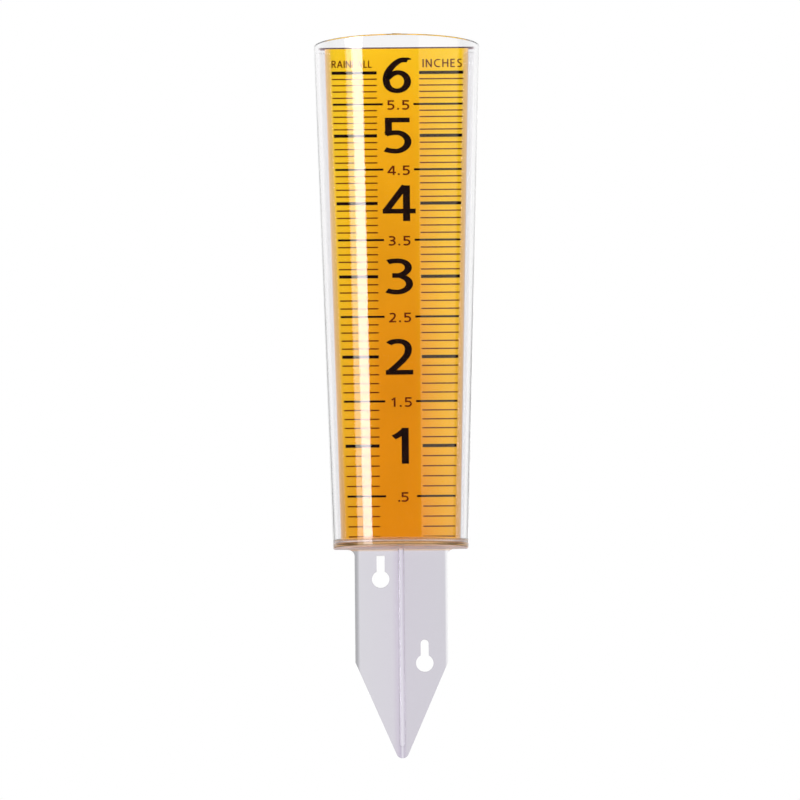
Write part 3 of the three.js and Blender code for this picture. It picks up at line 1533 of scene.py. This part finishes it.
@dataclass
class ScalePrint:
    """The marks, figures and words printed on the front of the scale plate."""

    form: GaugeForm
    rain: RainCalibration
    thickness: float = 0.05 * MM
    sunk: float = 0.01 * MM
    centre: float = 0.5 * MM
    edge_room_top: float = 2.3 * MM
    edge_room_foot: float = 3.2 * MM
    figure_height: float = 15.7 * MM
    figure_shift: float = -0.4 * MM
    top_figure_drop: float = 1.2 * MM
    small_height: float = 4.1 * MM
    small_drop: float = 0.4 * MM
    small_places: tuple[float, ...] = (-3.2 * MM, 0.0, 3.3 * MM)
    half_inch_places: tuple[float, ...] = (-1.0 * MM, 1.5 * MM)
    word_rise: float = 2.3 * MM
    printed_words: tuple[Word, ...] = (
        Word("INCHES", height=3.6 * MM, start=10.9 * MM, end=28.2 * MM),
        Word("RAINFALL", height=3.168 * MM, start=-29.2 * MM, end=-11.5 * MM),
    )
    figure_pen: Pen = Pen(0.198, 0.132)
    small_pen: Pen = Pen(0.20, 0.17)
    word_pen: Pen = Pen(0.165, 0.15)

    @property
    def face(self) -> float:
        """Where the print starts, sunk a little into the plate's front."""
        return self.form.plate_front + self.sunk

    def weight(self, mark: Mark) -> tuple[float, float]:
        """Gives the sizes of one weight of line.

        Args:
            mark: the weight.

        Returns:
            The line's thickness and the distance from the centre to its inner end.
        """
        return {
            Mark.INCH: (1.4 * MM, 9.35 * MM),
            Mark.HALF: (0.9 * MM, 6.7 * MM),
            Mark.TENTH: (0.55 * MM, 9.35 * MM),
        }[mark]

    def line(self, mark: Mark, side: Side, z: float) -> bpy.types.Object:
        """Prints one line of the scale.

        Args:
            mark: the line's weight.
            side: the side of the figures that it stands on.
            z: its height.

        Returns:
            The line.
        """
        thickness, inner = self.weight(mark)
        half = self.form.plate_half
        room = Taper(half.low_z, self.edge_room_foot, half.high_z, self.edge_room_top)
        left, right = sorted(self.centre + side.value * x for x in (inner, half.at(z) - room.at(z)))
        levels = (z - thickness / 2, z + thickness / 2)
        ends = [BarEnd(level, left, right, self.face - self.thickness, self.face) for level in levels]
        return tapered_bar("scale_line", *ends, 0.0)

    def lines(self, mark: Mark) -> list[bpy.types.Object]:
        """Prints every line of one weight.

        Args:
            mark: which weight.

        Returns:
            The lines.
        """
        made = []
        for tenth in range(1, FULL_SCALE * TENTHS + 1):
            if Mark.of(tenth) is mark:
                z = self.rain.height(tenth)
                made += [self.line(mark, side, z) for side in Side]
        return made

    def lettering(self, pen: Pen, height: float) -> Lettering:
        """The lettering of one size, on the plate's face."""
        return Lettering(pen, height, self.thickness, self.face)

    def figures(self) -> list[bpy.types.Object]:
        """Prints the whole inches, each level with its line but the topmost a little lower.

        Returns:
            The figures.
        """
        writer = self.lettering(self.figure_pen, self.figure_height)
        made = []
        for inch in range(1, FULL_SCALE + 1):
            foot = self.rain.height(inch * TENTHS) - self.figure_height / 2
            foot -= self.top_figure_drop if inch == FULL_SCALE else 0.0
            made.append(writer.letter(str(inch), Vector((self.centre + self.figure_shift, 0.0, foot))))
        return made

    def small_figures(self) -> list[bpy.types.Object]:
        """Prints the half inches in the gaps of their lines, with no nought before the first.

        Returns:
            The figures and points.
        """
        writer = self.lettering(self.small_pen, self.small_height)
        made = []
        for inch in range(FULL_SCALE):
            foot = self.rain.height((inch + 0.5) * TENTHS) - self.small_height / 2 - self.small_drop
            text, places = (f"{inch}.5", self.small_places) if inch else (".5", self.half_inch_places)
            for symbol, x in zip(text, places):
                made.append(writer.letter(symbol, Vector((self.centre + x, 0.0, foot))))
        return made

    def words(self) -> list[bpy.types.Object]:
        """Prints the unit on the right and a plain word for what is measured on the left.

        Returns:
            The letters.
        """
        foot = self.rain.height(FULL_SCALE * TENTHS) + self.word_rise
        made = []
        for word in self.printed_words:
            writer = self.lettering(self.word_pen, word.height)
            widths = [GLYPHS[symbol].width * word.height for symbol in word.text]
            space = (word.end - word.start - sum(widths)) / (len(word.text) - 1)
            left = self.centre + word.start
            for symbol, width in zip(word.text, widths):
                made.append(writer.letter(symbol, Vector((left + width / 2, 0.0, foot))))
                left += width + space
        return made

    def build(self) -> list[bpy.types.Object]:
        """Prints everything.

        Returns:
            One piece for each kind of print.
        """
        made = [
            join("inch_lines", self.lines(Mark.INCH)),
            join("half_inch_lines", self.lines(Mark.HALF)),
            join("tenth_lines", self.lines(Mark.TENTH)),
            join("inch_figures", self.figures()),
            join("half_inch_figures", self.small_figures()),
            join("printed_words", self.words()),
        ]
        for piece in made:
            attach(piece, "plate")
        return made

    def dress(self, pieces: list[bpy.types.Object]) -> None:
        """Gives the print its inks: near black where it lies thick, browner where it is fine.

        Args:
            pieces: the printed pieces.
        """
        dark = PrintInk().make()
        brown = PrintInk("fine_ink", full=(0.11, 0.012, 0.001), thin=(0.20, 0.035, 0.002)).make()
        fine = {"tenth_lines", "half_inch_figures", "printed_words"}
        for piece in pieces:
            piece.data.materials.append(brown if piece.name in fine else dark)


# ---------------------------------------------------------------- the studio


@dataclass(frozen=True)
class Softbox:
    """A soft light panel, placed round the gauge by the way it lies from it."""

    name: str
    bearing: float
    rise: float
    distance: float
    width: float
    height: float
    radiance: float
    tilt: float = 0.0
    colour: Colour = (1.0, 1.0, 1.0)

    def build(self, target: Vector) -> None:
        """Hangs the panel and turns it to the gauge.

        Args:
            target: the point that it faces.
        """
        way = bearing_way(self.bearing, self.rise)
        lamp = bpy.data.lights.new(self.name, "AREA")
        lamp.shape = "RECTANGLE"
        lamp.size, lamp.size_y = self.width, self.height
        lamp.color = self.colour
        lamp.energy = self.radiance * math.pi * self.width * self.height
        holder = bpy.data.objects.new(self.name, lamp)
        bpy.context.scene.collection.objects.link(holder)
        holder.location = target + way * self.distance
        lean = Matrix.Rotation(math.radians(self.tilt), 3, "Z")
        holder.rotation_euler = ((-way).to_track_quat("-Z", "Y").to_matrix() @ lean).to_euler()


@dataclass
class Studio:
    """The floor, the lights, the pale surroundings and the camera."""

    target: Vector
    floor_z: float = -0.5
    floor_reach: float = 6.0
    dim_to_bright: tuple[float, float] = (0.35, 0.8)
    dimmest: float = 0.04
    sensor: float = 36.0
    camera_distance: float = 2.4
    camera_rise: float = -4.4
    camera_turn: float = 0.0
    camera_roll: float = 0.5
    lens: float = 246.8

    def softboxes(self) -> list[Softbox]:
        """Lists the light panels, with bearings in degrees to the reader's right of the camera.

        Returns:
            The panels.
        """
        return [
            Softbox(
                "left_strip", bearing=-57.4, rise=3.0, distance=1.6, width=0.43, height=2.6,
                radiance=8.5, tilt=22.0, colour=(0.96, 0.97, 1.0),
            ),
            Softbox(
                "left_strip_edge", bearing=-71.0, rise=3.0, distance=1.7, width=0.30, height=2.6,
                radiance=3.2, tilt=18.0, colour=(1.0, 0.95, 0.85),
            ),
            Softbox(
                "right_panel", bearing=66.0, rise=8.0, distance=1.6, width=2.1, height=2.4,
                radiance=0.75, colour=(1.0, 0.93, 0.75),
            ),
            Softbox(
                "top_panel", bearing=0.0, rise=60.0, distance=1.8, width=1.8, height=1.2, radiance=3.55
            ),
        ]

    def surround(self) -> None:
        """Makes the world: white behind the gauge, dim in front of it."""
        world = bpy.data.worlds.new("studio_surround")
        bpy.context.scene.world = world
        world.use_nodes = True
        world.node_tree.nodes.clear()
        bench = NodeBench(world.node_tree)
        coordinates = bench.add("ShaderNodeTexCoord")
        split = bench.add("ShaderNodeSeparateXYZ")
        bench.link(coordinates.outputs["Generated"], split.inputs["Vector"])
        depth = bench.ranged(split.outputs["Y"], self.dim_to_bright, (self.dimmest, 1.0))
        path = bench.add("ShaderNodeLightPath")
        seen = bench.maths("MAXIMUM", depth, path.outputs["Is Camera Ray"])
        background = bench.add("ShaderNodeBackground")
        bench.link(seen, background.inputs["Strength"])
        output = bench.add("ShaderNodeOutputWorld")
        bench.link(background.outputs["Background"], output.inputs["Surface"])
        background.inputs["Color"].default_value = (1.0, 1.0, 1.0, 1.0)

    def floor(self) -> None:
        """Lays the plain pale floor."""
        bm = bmesh.new()
        bmesh.ops.create_grid(bm, x_segments=2, y_segments=2, size=self.floor_reach)
        bmesh.ops.translate(bm, verts=bm.verts, vec=Vector((0.0, 0.0, self.floor_z)))
        floor = finished("studio_floor", bm)
        finish = Finish.start("floor_paper")
        grain = finish.bench.noise(40.0, 2.0)
        tone = finish.bench.blended(grain, (0.80, 0.80, 0.81), (0.84, 0.84, 0.84))
        finish.bench.link(tone, finish.shader.inputs["Base Color"])
        finish.shader.inputs["Roughness"].default_value = 0.9
        floor.data.materials.append(finish.material)

    def camera(self) -> None:
        """Sets up the camera, a little below the gauge's middle and looking up."""
        data = bpy.data.cameras.new("gauge_camera")
        data.lens = self.lens
        data.sensor_width = self.sensor
        data.clip_start, data.clip_end = 0.05, 50.0
        camera = bpy.data.objects.new("gauge_camera", data)
        bpy.context.scene.collection.objects.link(camera)
        way = bearing_way(self.camera_turn, self.camera_rise)
        aim = (-way).to_track_quat("-Z", "Y").to_matrix().to_4x4()
        roll = Matrix.Rotation(math.radians(-self.camera_roll), 4, "Z")
        camera.matrix_world = Matrix.Translation(self.target + way * self.camera_distance) @ aim @ roll
        bpy.context.scene.camera = camera

    def build(self) -> None:
        """Sets up the whole studio."""
        self.camera()
        self.floor()
        self.surround()
        for softbox in self.softboxes():
            softbox.build(self.target)
        bpy.context.scene.view_settings.view_transform = "Standard"
        bpy.context.scene.view_settings.look = "None"


def report(piece: bpy.types.Object) -> None:
    """Logs a piece's name and size."""
    size = piece.dimensions / MM
    log.info("%s: %d faces, %.1f x %.1f x %.1f mm", piece.name, len(piece.data.polygons), *size)


def main() -> None:
    """Builds the gauge's pieces in order, dresses them and sets up the studio."""
    logging.basicConfig(level=logging.INFO, format="%(name)s: %(message)s")
    form = GaugeForm.from_frame()
    rain = RainCalibration(form)
    for inch in range(1, FULL_SCALE + 1):
        log.info("%d in stands at %.1f mm", inch, rain.height(inch * TENTHS) / MM)
    wear = handling_wear()

    moulding = ClearMoulding(form)
    clear = moulding.build()
    moulding.dress(clear, wear)
    report(clear)

    plate = ScalePlate(form)
    sheet = plate.build()
    plate.dress(sheet, wear)
    report(sheet)

    printing = ScalePrint(form, rain)
    printed = printing.build()
    printing.dress(printed)
    for piece in printed:
        report(piece)

    Studio(target=Vector((0.2 * MM, 0.0, 63.4 * MM))).build()


if __name__ == "__main__":
    main()
